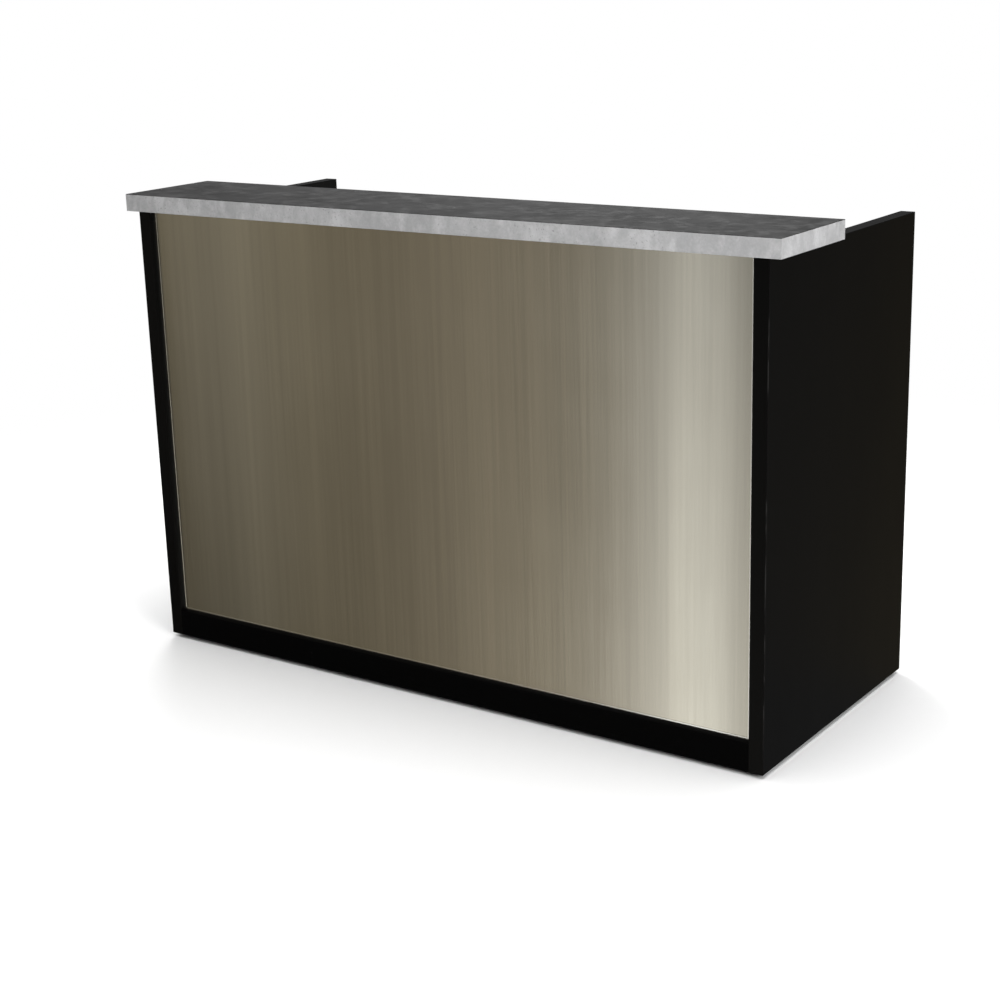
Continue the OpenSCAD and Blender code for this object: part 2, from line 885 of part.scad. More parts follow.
module at_plate_bolts() {
    for (sx = [-1, 1], sy = [-1, 1]) translate([sx * bolt_x, sy * bolt_y, 0]) children();
}

// Each bolt points up, at the underside of the bottom deck
module at_caster_bolts() {
    for (i = [0 : len(corners) - 1]) at_corner(i) at_plate_bolts() translate([0, 0, floor_z]) children();
}

module caster_bolts() {
    color(zinc)
    at_caster_bolts() {
        translate([0, 0, -plate_t]) cylinder(r = bolt_r, h = plate_t + bolt_grip);
        translate([0, 0, -plate_t - bolt_head_h]) cylinder(r = bolt_r * 1.7, h = bolt_head_h, $fn = 6);
    }
}

// Mounting plate with the upper race and the kingpin
module caster_plate() {
    king_z = crown_z - part_gap - king_head_h;
    color(zinc) {
        difference() {
            union() {
                translate([0, 0, plate_z]) linear_extrude(plate_t) round_rect(plate_l, plate_w, bracket_r);
                translate([0, 0, cup_z]) cylinder(r = cup_r, h = cup_h);
            }
            at_plate_bolts()
                translate([0, 0, plate_z - over]) cylinder(r = bolt_r + seat_fit, h = plate_t + 2 * over);
        }
        translate([0, 0, king_z]) cylinder(r = king_r, h = plate_z - king_z);
        translate([0, 0, king_z]) cylinder(r = king_head_r, h = king_head_h);
    }
}

module caster_fork(braked) {
    axle_at = [trail, wheel_r];
    leg_top = [[2, crown_z - wheel_gap], leg_top_r];
    ear = [pivot, pivot_r + 4];
    color(zinc)
    difference() {
        union() {
            translate([0, 0, crown_z]) cylinder(r = crown_r, h = crown_t);
            for (side = [-1, 1])
                translate([side * (leg_in + leg_t / 2), 0, 0])
                    along_x(leg_t) bars([axle_at, boss_axle_r], braked ? [leg_top, ear] : [leg_top]);
        }
        translate([0, 0, crown_z - over]) cylinder(r = king_r + run_fit, h = crown_t + 2 * over);
        translate([0, trail, wheel_r])
            rotate([0, 90, 0]) cylinder(r = axle_r + run_fit, h = 2 * leg_out + 2 * over, center = true);
        if (braked)
            translate([0, pivot[0], pivot[1]])
                rotate([0, 90, 0]) cylinder(r = pivot_r + run_fit, h = 2 * leg_out + 2 * over, center = true);
    }
}

// Axle bolt with its head on one side and its nut on the other
module caster_axle() {
    end_h = 5;
    end_r = axle_r * 1.75;
    color(bright_steel)
    translate([0, trail, wheel_r])
    rotate([0, 90, 0]) {
        cylinder(r = axle_r, h = 2 * leg_out, center = true);
        for (side = [-1, 1])
            translate([0, 0, side * (leg_out + end_h / 2)])
                cylinder(r = end_r, h = end_h, center = true, $fn = 6);
    }
}

// Hub, web and rim turned about the axle
module wheel_core() {
    rim_r = wheel_r - tread_t - run_fit;
    hub_r = axle_r + 6;
    hub_half = leg_in - fit;
    web_half = wheel_w / 6;
    rim_half = wheel_w / 2 - 1;
    rim_t = 4;
    color(grey_plastic)
    translate([0, trail, wheel_r])
    rotate([0, 90, 0])
    rotate_extrude()
        polygon([
            [axle_r + run_fit, -hub_half], [hub_r, -hub_half], [hub_r, -web_half], [rim_r - rim_t, -web_half],
            [rim_r - rim_t, -rim_half], [rim_r, -rim_half], [rim_r, rim_half], [rim_r - rim_t, rim_half],
            [rim_r - rim_t, web_half], [hub_r, web_half], [hub_r, hub_half], [axle_r + run_fit, hub_half]]);
}

module wheel_tread() {
    shoulder = 3;
    color(rubber)
    translate([0, trail, wheel_r])
    rotate([0, 90, 0])
    rotate_extrude()
        intersection() {
            translate([wheel_r - 2 * tread_t, 0]) round_rect(4 * tread_t, wheel_w, shoulder);
            translate([wheel_r - tread_t, -wheel_w / 2]) square([tread_t, wheel_w]);
        }
}

// Pedal on a cross pin between the fork's ears; pressed down, its shoe closes on the tread
module brake_pedal() {
    hub_r = 6;
    body_w = 2 * leg_in - 5;
    shoe_r = 4;
    shoe_reach = 11;
    shoe_angle = -55;
    rise = 15;
    toe_r = 3;
    toe = pivot + pedal_len * [cos(rise), sin(rise)];
    shoe = pivot + shoe_reach * [cos(shoe_angle), sin(shoe_angle)];
    color(grip_red) {
        along_x(body_w) bars([pivot, hub_r], [[toe, toe_r], [shoe, shoe_r]]);
        translate([0, pivot[0], pivot[1]])
            rotate([0, 90, 0]) cylinder(r = pivot_r, h = 2 * leg_out, center = true);
    }
}

end_panel(-1);  // end_panel_left
end_panel(1);  // end_panel_right
front_board();
front_skin();
skin_trim_left();
skin_trim_right();
skin_trim_bottom();
base_rail_front();
base_rail_rear();
bottom_deck();
bar_top_core();
bar_top_sheet();
bar_top_edging();
top_angles();
angle_screws();
deck_cleats();
work_deck();
apron();
apron_filler(-1);  // apron_filler_left
apron_filler(1);  // apron_filler_right
bin_liner();
bin_insulation();
bin_jacket();
rail_tray();
rail_band();
rail_bracket(-1);  // rail_bracket_left
rail_bracket(1);  // rail_bracket_right
rail_screws();
drain_outlet();
drain_nut();
drain_pipe();
valve_body();
valve_ball();
valve_handle();
valve_nut();
hose_tail();
at_corner(0) caster_plate();  // caster_plate_front_left
at_corner(1) caster_plate();  // caster_plate_front_right
at_corner(2) caster_plate();  // caster_plate_back_left
at_corner(3) caster_plate();  // caster_plate_back_right
at_swivel(0) caster_fork(false);  // caster_fork_front_left
at_swivel(1) caster_fork(false);  // caster_fork_front_right
at_swivel(2) caster_fork(true);  // caster_fork_back_left
at_swivel(3) caster_fork(true);  // caster_fork_back_right
at_swivel(0) caster_axle();  // caster_axle_front_left
at_swivel(1) caster_axle();  // caster_axle_front_right
at_swivel(2) caster_axle();  // caster_axle_back_left
at_swivel(3) caster_axle();  // caster_axle_back_right
at_swivel(0) wheel_core();  // wheel_core_front_left
at_swivel(1) wheel_core();  // wheel_core_front_right
at_swivel(2) wheel_core();  // wheel_core_back_left
at_swivel(3) wheel_core();  // wheel_core_back_right
at_swivel(0) wheel_tread();  // wheel_tread_front_left
at_swivel(1) wheel_tread();  // wheel_tread_front_right
at_swivel(2) wheel_tread();  // wheel_tread_back_left
at_swivel(3) wheel_tread();  // wheel_tread_back_right
at_swivel(2) brake_pedal();  // brake_pedal_left
at_swivel(3) brake_pedal();  // brake_pedal_right
caster_bolts();
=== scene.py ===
# %% [markdown]
# # A mobile bar, dressed for its photograph
# The solids of this bar come from its CAD model. They already have every real size, so this lesson
# changes none of them: it gives each one a finish, models the small forms that a solid leaves
# plain, and lights the bar as a studio would. Everything is in metres, with X to the guests' right,
# Y to the bartender and Z up.

# %% Load the solids
import json
import math

import bpy
from mathutils import Matrix, Vector


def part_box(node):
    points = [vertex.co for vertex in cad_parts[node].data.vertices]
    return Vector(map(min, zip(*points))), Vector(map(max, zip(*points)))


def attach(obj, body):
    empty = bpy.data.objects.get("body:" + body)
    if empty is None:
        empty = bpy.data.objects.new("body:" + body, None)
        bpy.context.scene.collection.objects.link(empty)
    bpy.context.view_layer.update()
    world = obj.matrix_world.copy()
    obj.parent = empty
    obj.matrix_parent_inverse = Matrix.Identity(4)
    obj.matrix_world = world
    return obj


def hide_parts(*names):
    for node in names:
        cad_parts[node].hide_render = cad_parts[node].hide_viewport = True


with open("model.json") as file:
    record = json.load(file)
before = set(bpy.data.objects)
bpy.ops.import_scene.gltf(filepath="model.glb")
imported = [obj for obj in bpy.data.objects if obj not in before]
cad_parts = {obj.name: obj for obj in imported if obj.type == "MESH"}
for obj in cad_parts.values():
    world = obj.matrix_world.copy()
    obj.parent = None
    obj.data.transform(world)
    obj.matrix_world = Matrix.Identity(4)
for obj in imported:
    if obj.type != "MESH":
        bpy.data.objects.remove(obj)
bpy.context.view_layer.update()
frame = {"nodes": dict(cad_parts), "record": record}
nodes = frame["nodes"]

# %% [markdown]
# The camera stands high and to the right of the guests, a little tilted, as the photographer held
# it. Its place could be tried by eye. Here the corners of the case were measured in the picture and
# a pinhole camera was fitted to them, which gives the place, the three angles and the focal length
# at once.

# %% Camera
CAMERA_AT = (2.670, -3.869, 1.807)
YAW, PITCH, ROLL = 35.13, 16.32, -1.63
FOCAL_PIXELS, PICTURE_PIXELS = 1872.3, 1000
SENSOR_MM = 36


def turned(degrees, axis):
    return Matrix.Rotation(math.radians(degrees), 4, axis)


bpy.ops.object.select_all(action="DESELECT")
bpy.ops.object.camera_add(location=CAMERA_AT)
camera = bpy.context.object
aim = turned(YAW, "Z") @ turned(90 - PITCH, "X") @ turned(ROLL, "Z")
camera.matrix_world = Matrix.Translation(CAMERA_AT) @ aim
camera.data.sensor_width = SENSOR_MM
camera.data.lens = SENSOR_MM * FOCAL_PIXELS / PICTURE_PIXELS
camera.data.dof.use_dof = False
bpy.context.scene.camera = camera
print("lens:", round(camera.data.lens, 1), "mm")

# %% [markdown]
# Every finish below is a small sum: some noise, stretched or broken up, added to a colour or a
# roughness. Shader sums can be wired node by node. It reads better to write them as Python sums, so
# one small class holds an output of a node and adds a Math node whenever it meets an operator. Its
# method `node` makes every other kind of node.

# %% Shader sums
class Shade:
    """An output of a shader node, with arithmetic."""

    def __init__(self, tree, socket=None):
        self.tree = tree
        self.socket = socket

    def node(self, kind, settings=None, inputs=None, output=0):
        """One output of a new node, given its type, its settings and what goes into its sockets."""
        made = self.tree.nodes.new(kind)
        for name, value in (settings or {}).items():
            if name == "stops":
                ramp = made.color_ramp.elements
                for i, (where, colour) in enumerate(value):
                    stop = ramp[i] if i < 2 else ramp.new(where)
                    stop.position = where
                    stop.color = (*colour, 1)
            else:
                setattr(made, name, value)
        for name, value in (inputs or {}).items():
            if isinstance(value, Shade):
                self.tree.links.new(value.socket, made.inputs[name])
            else:
                made.inputs[name].default_value = value
        return Shade(self.tree, made.outputs[output])

    def sum(self, operation, first, second):
        return self.node("ShaderNodeMath", {"operation": operation}, {0: first, 1: second})

    def __add__(self, other): return self.sum("ADD", self, other)
    def __radd__(self, other): return self.sum("ADD", other, self)
    def __sub__(self, other): return self.sum("SUBTRACT", self, other)
    def __rsub__(self, other): return self.sum("SUBTRACT", other, self)
    def __mul__(self, other): return self.sum("MULTIPLY", self, other)
    def __rmul__(self, other): return self.sum("MULTIPLY", other, self)

    def noise(self, stretch, detail=4.0, roughness=0.55):
        """Noise on these coordinates; stretch is how many grains fit in a metre along each axis."""
        spread = self.node("ShaderNodeMapping", {"vector_type": "POINT"},
                           {"Vector": self, "Scale": stretch})
        return self.node("ShaderNodeTexNoise", None, {"Vector": spread, "Scale": 1.0,
                                                      "Detail": detail, "Roughness": roughness})

    def band(self, low, high):
        """0 below low, 1 above high, smooth between."""
        return self.node("ShaderNodeMapRange", {"interpolation_type": "SMOOTHSTEP"},
                         {"Value": self, "From Min": low, "From Max": high})

    def between(self, first, last):
        """A straight run from first, where this is 0, to last, where it is 1."""
        return self.node("ShaderNodeMapRange", None,
                         {"Value": self, "To Min": first, "To Max": last})

    def blend(self, first, second):
        """A colour between two, by this factor."""
        given = {0: self}
        for place, colour in ((6, first), (7, second)):
            given[place] = colour if isinstance(colour, Shade) else (*colour, 1)
        return self.node("ShaderNodeMix", {"data_type": "RGBA"}, given, 2)

    def part(self, axis):
        """One of the three parts of a vector."""
        return self.node("ShaderNodeSeparateXYZ", None, {0: self}, "XYZ".index(axis))

    def bump(self, depth, strength=1.0):
        """A normal from this height, depth in metres."""
        return self.node("ShaderNodeBump", None,
                         {"Height": self, "Distance": depth, "Strength": strength})


print("operators: + - *")

# %% [markdown]
# A new finish always starts alike: a material with its one standard shader, and the coordinates of
# the object to draw on. Doing that by hand for each finish would hide what differs, so a helper
# does it. What is the same all over is set on the shader's own sockets, and only what varies is
# linked.

# %% A new finish
def new_finish(name, **fixed):
    """A material, its shader and the coordinates to draw on. The fixed sockets never vary."""
    made = bpy.data.materials.new(name)
    made.use_nodes = True
    shader = made.node_tree.nodes["Principled BSDF"]
    for socket, value in fixed.items():
        shader.inputs[socket.replace("_", " ")].default_value = value
    here = made.node_tree.nodes.new("ShaderNodeTexCoord").outputs["Object"]
    return made, shader, Shade(made.node_tree, here)


def feed(shader, **sockets):
    """Links shades into a shader's sockets."""
    for socket, shade in sockets.items():
        shade.tree.links.new(shade.socket, shader.inputs[socket.replace("_", " ")])


def show(made, shade):
    """Makes another shader than the standard one the surface of a material."""
    feed(made.node_tree.nodes["Material Output"], Surface=shade)


print("helpers: new_finish, feed, show")

# %% [markdown]
# The floor is a pale sheet that fades away around the bar, so that it has no edge against the white
# background. A round sheet is easy to fade: its own distance from the middle drives a mix with a
# transparent shader.

# %% Floor
FLOOR_R, FLOOR_SIDES, FLOOR_Z = 4.0, 96, -0.0005
FADE_FROM, FADE_TO = 0.35 * FLOOR_R, 0.85 * FLOOR_R
FLOOR_TONE = (0.78, 0.78, 0.78, 1)

bpy.ops.object.select_all(action="DESELECT")
bpy.ops.mesh.primitive_circle_add(vertices=FLOOR_SIDES, radius=FLOOR_R, fill_type="NGON",
                                  location=(0, 0, FLOOR_Z))
floor = bpy.context.object
floor.name = "floor"
bpy.ops.object.transform_apply(location=True, rotation=False, scale=False)
pale_floor, shader, here = new_finish("pale_floor", Base_Color=FLOOR_TONE, Roughness=0.9,
                                      Specular_IOR_Level=0.0)
reach = here.node("ShaderNodeVectorMath", {"operation": "LENGTH"}, {0: here}, "Value")
clear = here.node("ShaderNodeBsdfTransparent")
show(pale_floor, here.node("ShaderNodeMixShader", None, {
    0: reach.band(FADE_FROM, FADE_TO), 1: Shade(here.tree, shader.outputs[0]), 2: clear}))
floor.data.materials.append(pale_floor)
floor.visible_glossy = False
print("floor radius:", FLOOR_R, "m")

# %% [markdown]
# A studio lights steel by what the steel mirrors, and black panels by what they do not. The
# background is white only where the camera looks straight at it, and a dim grey for every other
# ray, so that the black stays black.

# %% Background
SURROUND = 0.15

bpy.context.scene.view_settings.view_transform = "Standard"
world = bpy.data.worlds.new("studio")
bpy.context.scene.world = world
world.use_nodes = True
background = world.node_tree.nodes["Background"]
background.inputs["Color"].default_value = (1, 1, 1, 1)
seen = Shade(world.node_tree).node("ShaderNodeLightPath", output="Is Camera Ray")
feed(background, Strength=seen.between(SURROUND, 1.0))
print("light from all around:", SURROUND)

# %% [markdown]
# Three square lamps, as soft as a photographer's, light all that is dull: a large one overhead, one
# for the end panel on the right and one from behind. Small bright lamps would do with less power,
# but they draw hard shadows. A lamp would burn a white patch into polished steel, so no mirror ray
# meets these.

# %% Lamps
LAMPS = {  # place, aim, side of the square, watts
    "overhead": ((0.2, 0.2, 4.2), (0, 0, 0), 5.0, 360),
    "side": ((3.9, -2.4, 1.9), (0.9, -0.3, 1.0), 1.4, 130),
    "rear": ((-3.4, 3.2, 2.2), (-0.2, 0.3, 0.9), 1.8, 170)}

for name, (at, towards, side, watts) in LAMPS.items():
    bpy.ops.object.select_all(action="DESELECT")
    bpy.ops.object.light_add(type="AREA", location=at)
    lamp = bpy.context.object
    lamp.name = name
    lamp.data.size = side
    lamp.data.energy = watts
    lamp.rotation_euler = (Vector(towards) - Vector(at)).to_track_quat("-Z", "Y").to_euler()
    lamp.visible_camera = False
    lamp.visible_glossy = False
print("lamps:", ", ".join(LAMPS))

# %% [markdown]
# What the steel mirrors is a set of glowing cards that only reflections see, like the white boards
# around a studio table. A picture of a room could be wrapped around the scene instead, but a card
# can be placed and toned on its own. A card's tone runs along its width by a list of stops, and a
# gain makes it paler or dimmer from bottom to top. On the front card that gain differs between left
# and right: the photograph's steel pales upwards on the left and downwards on the right.

# %% One reflector card
LEAN = (0.24, 0.50)


def card(name, at, size, stops, gain, left_gain=None, tilt=90, turn=0):
    """A glowing sheet that only mirror rays meet. The stops run along X, a gain from bottom to top.
    A left gain gives way to the other one between the two shares of the width in LEAN."""
    bpy.ops.object.select_all(action="DESELECT")
    bpy.ops.mesh.primitive_plane_add(size=1)
    made = bpy.context.object
    made.name = name
    made.data.transform(Matrix.Translation(at) @ turned(turn, "Z") @ turned(tilt, "X")
                        @ Matrix.Diagonal((*size, 1, 1)))
    glow, _, here = new_finish(name)
    spot = here.node("ShaderNodeTexCoord", output="Generated")
    lean = here.node("ShaderNodeMapRange", None,
                     {"Value": spot.part("X"), "From Min": LEAN[0], "From Max": LEAN[1]})
    up = spot.part("Z")
    strength = here.node("ShaderNodeMix", None, {
        "Factor": lean, "A": up.between(*(left_gain or gain)), "B": up.between(*gain)})
    tone = here.node("ShaderNodeValToRGB", {"stops": stops}, {0: spot.part("X")})
    lit = here.node("ShaderNodeVectorMath", {"operation": "SCALE"}, {0: tone, "Scale": strength})
    show(glow, here.node("ShaderNodeEmission", None, {"Color": lit}))
    made.data.materials.append(glow)
    made.visible_camera = False
    made.visible_diffuse = False
    made.visible_shadow = False
    made.visible_transmission = False
    print(name, "at", at)


# %% [markdown]
# The front and the rear card are a dim warm grey with pale stretches, like a dark room with tall
# windows, which draws the soft bright bands on the sheets. The ceiling lights the top and the deck,
# the two sides give the end panels a faint sheen, and the card at the back pales the bar top
# towards the right.

# %% Reflector cards
DARK, DIM, FAINT = (0.095, 0.081, 0.054), (0.150, 0.128, 0.085), (0.40, 0.368, 0.296)
WARM, FOOT, GLOW = (0.262, 0.228, 0.172), (0.42, 0.388, 0.325), (1.55, 1.55, 1.47)
MIDDLE, HALF, PALE = (0.215, 0.183, 0.132), (0.26, 0.235, 0.187), (1.85, 1.85, 1.76)
ASH, GREY, WHITE = (0.10, 0.10, 0.10), (0.46, 0.46, 0.46), (1.0, 1.0, 1.0)
FRONT = [(0.0, DIM), (0.216, DARK), (0.247, FAINT), (0.278, DIM), (0.371, WARM), (0.430, WARM),
         (0.463, FOOT), (0.484, GLOW), (0.494, GLOW), (0.507, DARK), (0.56, MIDDLE), (0.625, HALF),
         (0.648, PALE), (0.662, PALE), (0.69, MIDDLE), (0.79, DIM), (1.0, DIM)]
REAR = [(0.0, HALF), (0.37, HALF), (0.46, PALE), (0.52, PALE), (0.66, MIDDLE), (1.0, DIM)]
PLAIN, RISING = [(0.0, WHITE), (1.0, WHITE)], [(0.0, ASH), (1.0, GREY)]

card("front_card", (0.0, -1.95, 0.1), (8.4, 3.2), FRONT, (1.90, 0.37), left_gain=(0.48, 1.62))
card("rear_card", (0.1, 1.2, 0.4), (2.7, 1.6), REAR, (1.3, 0.8))
card("ceiling_card", (0.2, 0.2, 4.1), (5.0, 5.0), PLAIN, (1.3, 1.3), tilt=0)
card("right_card", (5.0, -0.7, 0.0), (4.6, 4.0), PLAIN, (2.4, 0.6), turn=90)
card("left_card", (-5.0, 0.0, 0.0), (4.0, 4.0), PLAIN, (2.4, 0.6), turn=90)
card("back_card", (-2.56, 3.0, 2.3), (3.88, 2.2), RISING, (1.0, 1.0))

# %% [markdown]
# Brushed stainless is drawn through a belt that leaves fine scratches all one way. A photograph of
# scratches would do, but it would repeat and blur. Noise that is squeezed hard across the grain and
# stretched along it gives scratches at any distance. Broader bands of the same kind are the belt's
# uneven pressure, and a slow cloudy noise is handling.

# %% Brushed steel
HAIR, SCRATCH, STREAK, BAND = (700.0, 6.0), (240.0, 2.0), (70.0, 0.9), (7.0, 0.25)
CLOUD = (2.2, 2.2, 2.2)
DARKER, PALER = 0.80, 1.20
LEVEL, UPRIGHT = 0, 2


def brushed_steel(name, colour, grain, roughness, spread, stretch=0.0):
    """grain is the axis along which the belt ran, spread how far the bands differ in tone, and
    stretch how far the scratches draw out a highlight."""
    made, shader, here = new_finish(name, Metallic=1.0, Anisotropic=stretch)

    def drawn(grains, detail, rough):
        across, along = grains
        return here.noise([along if i == grain else across for i in range(3)], detail, rough) - 0.5

    hair, scratch = drawn(HAIR, 2.0, 0.6), drawn(SCRATCH, 3.0, 0.6)
    streak, band = drawn(STREAK, 3.0, 0.55), drawn(BAND, 2.0, 0.5)
    cloud = here.noise(CLOUD, 4.0, 0.5) - 0.5
    fine = hair * 0.06 + scratch * 0.26
    broad = streak * 0.45 + band * 0.8 + cloud * 0.4
    dark, pale = [tuple(min(1.0, c * gain) for c in colour) for gain in (DARKER, PALER)]
    feed(shader, Base_Color=(0.5 + fine + broad * spread).band(0.1, 0.9).blend(dark, pale),
         Roughness=roughness + hair * 0.05 + scratch * 0.06 + cloud * 0.08,
         Normal=streak.bump(0.00004, 0.2))
    return made


front_steel = brushed_steel("front_steel", (0.55, 0.535, 0.49), UPRIGHT, 0.205, 0.6, 0.55)
deck_steel = brushed_steel("deck_steel", (0.64, 0.63, 0.60), LEVEL, 0.28, 0.4)
worktop_steel = brushed_steel("worktop_steel", (0.80, 0.795, 0.78), LEVEL, 0.58, 0.4)
# Painted shade: the liner's steel is darker than the deck's, so that the inside of the ice well
# looks shaded.
liner_steel_painted_shade = brushed_steel("liner_steel_painted_shade", (0.45, 0.443, 0.428), LEVEL, 0.36, 0.4)
# Painted highlight: the fillers are paler than the apron's steel, so that the ends of the apron
# show a bright strip.
filler_steel_painted_highlight = brushed_steel("filler_steel_painted_highlight", (0.70, 0.70, 0.69), UPRIGHT, 0.32, 0.3)
trim_steel = brushed_steel("trim_steel", (0.86, 0.87, 0.87), UPRIGHT, 0.20, 0.2, 0.55)
print("steels: front, deck, worktop, liner, filler, trim")

# %% [markdown]
# Zinc-plated and galvanised pieces are duller. Hot-dip zinc sets in flat crystals, which a Voronoi
# pattern gives: each cell takes one tone.

# %% Zinc
def even(grains):
    """The same number of grains in a metre along all three axes."""
    return (grains, grains, grains)


zinc, shader, here = new_finish("zinc", Metallic=1.0)
mottle = here.noise(even(60.0), 3.0)
feed(shader, Base_Color=mottle.band(0.3, 0.7).blend((0.52, 0.53, 0.54), (0.66, 0.66, 0.65)),
     Roughness=0.30 + mottle * 0.12, Normal=mottle.bump(0.00003, 0.3))

galvanised, shader, here = new_finish("galvanised", Metallic=1.0)
cell = here.node("ShaderNodeTexVoronoi", {"feature": "F1"}, {"Vector": here, "Scale": 55.0},
                 "Color").part("X")
mottle = here.noise(even(130.0), 3.0)
feed(shader, Base_Color=(cell * 0.7 + mottle * 0.3).blend((0.40, 0.41, 0.42), (0.62, 0.63, 0.64)),
     Roughness=0.36 + cell * 0.16)
print("zincs: plated, galvanised")

# %% [markdown]
# The case is board faced with black laminate. Real laminate is never a flat black. A fine pebble
# breaks up its shine, it greys a little near the floor, where shoes and crates meet it, and its
# upright outer edges are chafed by doorways. An edge could be found by the angle between faces. The
# case's box is known, so it is found by place.

# %% Black laminate
CASE_LOW, CASE_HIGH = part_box("end_panel_left")[0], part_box("end_panel_right")[1]
SHARP, RUBBED = 0.0005, 0.0035
SCUFF_LOW, SCUFF_HIGH = 0.02, 0.22


def black_board(name, tone, roughness, pebble, scuffed, gloss=0.08):
    """pebble is the depth of the grit, and scuffed how strongly the rubbed places show."""
    made, shader, here = new_finish(name, Specular_IOR_Level=gloss)
    grit = here.noise(even(900.0), 2.0, 0.5)
    smear = here.noise((5.0, 5.0, 2.0), 4.0, 0.6)
    rub = here.noise((45.0, 45.0, 220.0), 5.0, 0.7).band(0.60, 0.78)
    chafe = here.noise((60.0, 60.0, 9.0), 5.0, 0.65).band(0.46, 0.62)
    wide, deep = here.part("X"), here.part("Y")
    low = 1 - here.part("Z").band(SCUFF_LOW, SCUFF_HIGH)
    side = (wide * wide).band((CASE_HIGH.x - RUBBED) ** 2, (CASE_HIGH.x - SHARP) ** 2)
    front = 1 - deep.band(CASE_LOW.y + SHARP, CASE_LOW.y + RUBBED)
    back = deep.band(CASE_HIGH.y - RUBBED, CASE_HIGH.y - SHARP)
    wear = ((rub * low + side * (front + back) * chafe * 0.7) * scuffed).band(0.0, 1.0)
    black, grey = (tone, tone, tone * 1.04), (tone + 0.06, tone + 0.06, tone + 0.058)
    feed(shader, Base_Color=wear.blend(black, grey),
         Roughness=roughness + (smear - 0.5) * 0.14 + (grit - 0.5) * 0.10 + wear * 0.15,
         Normal=grit.bump(pebble, 0.25))
    return made


laminate_black = black_board("laminate_black", 0.0014, 0.36, 0.00005, 0.5)
board_black = black_board("board_black", 0.004, 0.60, 0.00006, 0.35)
kick_black = black_board("kick_black", 0.0014, 0.60, 0.00006, 0.4, gloss=0.015)
print("case:", [round(v, 4) for v in (*CASE_LOW, *CASE_HIGH)])

# %% [markdown]
# The bar top is a stone-look laminate: a dark, clouded grey sheet on top and paler strips with
# faint veins around its edge. The clouds are two noises of different size, a vein is the soft line
# where a third noise crosses its middle, and the dark flecks are the peaks of a fine fourth one.

# %% Stone laminate
def stone(name, dark, pale, vein, roughness, veined=0.5):
    """veined is how strongly the soft veins show, from 0 to 1."""
    made, shader, here = new_finish(name, Specular_IOR_Level=0.3)
    cloud = here.noise(even(9.0), 6.0, 0.62)
    blot = here.noise((34.0, 34.0, 24.0), 5.0, 0.6)
    speck = here.noise(even(160.0), 4.0, 0.7)
    wander = here.noise((7.0, 10.0, 5.0), 4.0, 0.5) - 0.5
    line = 1 - here.node("ShaderNodeMath", {"operation": "ABSOLUTE"}, {0: wander}).band(0.0, 0.06)
    fleck = here.noise(even(210.0), 2.0, 0.5).band(0.63, 0.70) * cloud.band(0.42, 0.60)
    base = (cloud * 0.35 + blot * 0.45 + speck * 0.2).band(0.36, 0.64).blend(dark, pale)
    drawn = (line * blot.band(0.40, 0.62) * veined).blend(base, vein)
    feed(shader, Base_Color=(fleck * 0.55).blend(drawn, tuple(c * 0.45 for c in dark)),
         Roughness=roughness + (speck - 0.5) * 0.14, Normal=speck.bump(0.00005, 0.3))
    return made


stone_top = stone("stone_top", (0.012, 0.012, 0.012), (0.026, 0.026, 0.026), (0.05, 0.05, 0.05),
                  0.48)
stone_edge = stone("stone_edge", (0.36, 0.36, 0.365), (0.56, 0.56, 0.565), (0.28, 0.28, 0.285),
                   0.42)
print("stones: top, edge")

# %% [markdown]
# The bare board of the top's core and the cleats has long fibres, so its noise is stretched along
# the board. The drain's brass is bright where water rinses it and brown where it has tarnished, so
# one noise carries both its tone and its shine.

# %% Wood and brass
core_wood, shader, here = new_finish("core_wood", Specular_IOR_Level=0.3)
fibre = here.noise((14.0, 160.0, 160.0), 5.0, 0.65)
feed(shader, Base_Color=fibre.band(0.3, 0.7).blend((0.30, 0.205, 0.115), (0.44, 0.32, 0.19)),
     Roughness=0.62 + fibre * 0.2, Normal=fibre.bump(0.0002, 0.4))

brass, shader, here = new_finish("brass", Metallic=1.0)
tarnish = here.noise(even(70.0), 5.0, 0.6)
feed(shader, Base_Color=tarnish.band(0.35, 0.7).blend((0.66, 0.50, 0.24), (0.42, 0.30, 0.15)),
     Roughness=0.22 + tarnish * 0.2)
print("wood and brass ready")

# %% [markdown]
# What is left is moulded: the grey pipe, the red grips, the wheels with their treads, the foam. A
# mould leaves an even, fine texture, so one noise gives the tone, the shine and the bump of each.

# %% Plastic, rubber and foam
def moulded(name, dark, pale, grains, roughness, depth, gloss=0.45):
    """grains is how many fit in a metre, and depth how deep they are."""
    made, shader, here = new_finish(name, Specular_IOR_Level=gloss)
    grain = here.noise(even(grains), 4.0, 0.6)
    feed(shader, Base_Color=grain.band(0.3, 0.7).blend(dark, pale),
         Roughness=roughness + (grain - 0.5) * 0.2, Normal=grain.bump(depth, 0.4))
    return made


pipe_plastic = moulded("pipe_plastic", (0.20, 0.205, 0.21), (0.26, 0.265, 0.27),
                       300.0, 0.42, 0.00004)
red_grip = moulded("red_grip", (0.30, 0.016, 0.012), (0.40, 0.026, 0.02), 260.0, 0.40, 0.00005)
wheel_plastic = moulded("wheel_plastic", (0.13, 0.135, 0.14), (0.19, 0.195, 0.20),
                        260.0, 0.45, 0.00005)
tread_rubber = moulded("tread_rubber", (0.018, 0.018, 0.019), (0.04, 0.04, 0.041),
                       400.0, 0.70, 0.00008, gloss=0.3)
foam = moulded("foam", (0.58, 0.50, 0.30), (0.72, 0.64, 0.42), 500.0, 0.85, 0.0003, gloss=0.2)
print("moulded: pipe, grip, wheel, tread, foam")
